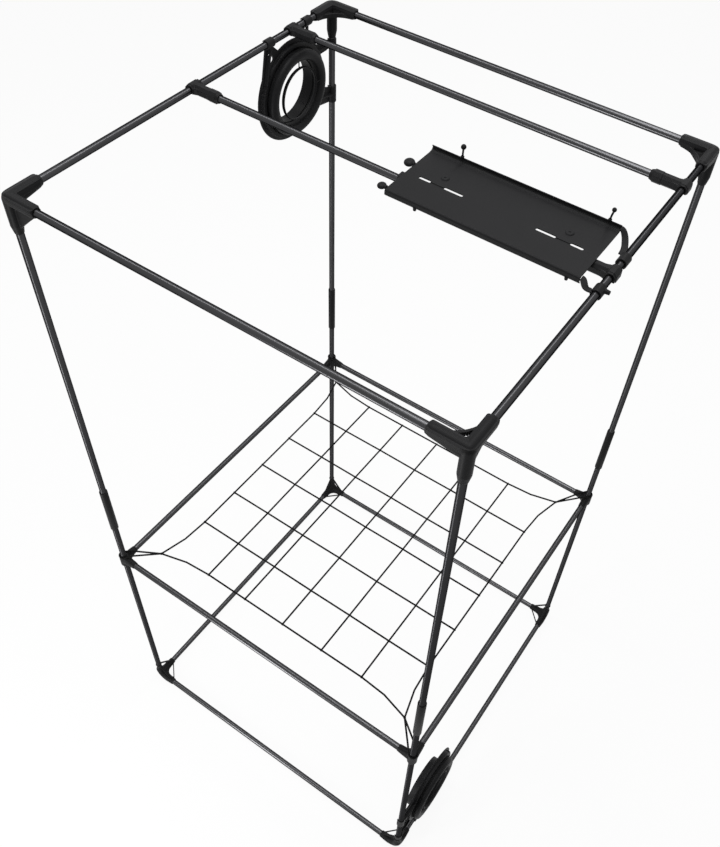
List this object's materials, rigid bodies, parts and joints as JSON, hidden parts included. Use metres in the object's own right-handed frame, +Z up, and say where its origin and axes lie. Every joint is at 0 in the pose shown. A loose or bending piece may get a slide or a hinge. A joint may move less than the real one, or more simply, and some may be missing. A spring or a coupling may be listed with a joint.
{
  "type": "tent pole frame",
  "caption": "Knock-down square pole frame with moulded corners, a level elastic net, sliding cross poles with an equipment board, and round duct mounts.",
  "frame": {"origin": "on the floor under the middle of the frame", "axes": "+Z up, +X along the front rails towards the leg with the low duct ring, +Y from the front rails to the back rails"},
  "size_m": [1.036, 1.006, 2.0275],
  "materials": {
    "pole": "satin dark grey powder coat",
    "moulding": "fine matt moulded texture",
    "sheet": "matt black powder coat",
    "cord": "braided cover of an elastic cord"
  },
  "bodies": {
    "frame": {"base_corner_front_left": "moulding", "base_corner_front_right": "moulding", "base_corner_back_right": "moulding", "base_corner_back_left": "moulding", "top_corner_front_left": "moulding", "top_corner_front_right": "moulding", "top_corner_back_right": "moulding", "top_corner_back_left": "moulding", "leg_sleeve_front_left": "moulding", "leg_sleeve_front_right": "moulding", "leg_sleeve_back_right": "moulding", "leg_sleeve_back_left": "moulding", "lower_leg_front_left": "pole", "lower_leg_front_right": "pole", "lower_leg_back_right": "pole", "lower_leg_back_left": "pole", "upper_leg_front_left": "pole", "upper_leg_front_right": "pole", "upper_leg_back_right": "pole", "upper_leg_back_left": "pole", "base_pole_front": "pole", "base_pole_right": "pole", "base_pole_back": "pole", "base_pole_left": "pole", "top_pole_front": "pole", "top_pole_right": "pole", "top_pole_back": "pole", "top_pole_left": "pole", "duct_mount_top": "moulding", "duct_mount_low": "moulding", "duct_spigot_top": "moulding", "duct_spigot_low": "moulding"},
    "net_level": {"mid_corner_front_left": "moulding", "mid_corner_front_right": "moulding", "mid_corner_back_right": "moulding", "mid_corner_back_left": "moulding", "mid_pole_front": "pole", "mid_pole_right": "pole", "mid_pole_back": "pole", "mid_pole_left": "pole", "net": "cord"},
    "middle_crossbar": {"cross_pole_middle": "pole", "tee_middle_left": "moulding", "tee_middle_right": "moulding", "equipment_board": "sheet", "peg_back_left": "moulding", "peg_back_right": "moulding", "knob_front_left": "moulding", "knob_left": "moulding", "board_clip": "moulding", "board_hook_back": "moulding", "board_hook_front": "moulding"},
    "back_crossbar": {"cross_pole_back": "pole", "tee_back_left": "moulding", "tee_back_right": "moulding"},
    "top_duct_mouth": {"duct_mouth_top": "moulding"},
    "low_duct_mouth": {"duct_mouth_low": "moulding"}
  },
  "joints": [
    {"name": "net_level_slide", "type": "slide", "parent": "frame", "child": "net_level", "axis": [0, 0, 1], "range_m": [-0.4, 0.1]},
    {"name": "middle_crossbar_slide", "type": "slide", "parent": "frame", "child": "middle_crossbar", "axis": [0, 1, 0], "range_m": [-0.3, 0.15]},
    {"name": "back_crossbar_slide", "type": "slide", "parent": "frame", "child": "back_crossbar", "axis": [0, 1, 0], "range_m": [-0.04, 0.015]},
    {"name": "top_duct_mouth_turn", "type": "hinge", "parent": "frame", "child": "top_duct_mouth", "pos_m": [-0.49, 0.33, 1.8215], "axis": [1, 0, 0], "range_deg": [-45, 45]},
    {"name": "low_duct_mouth_turn", "type": "hinge", "parent": "frame", "child": "low_duct_mouth", "pos_m": [0.49, -0.33, 0.1615], "axis": [1, 0, 0], "range_deg": [-45, 45]}
  ]
}
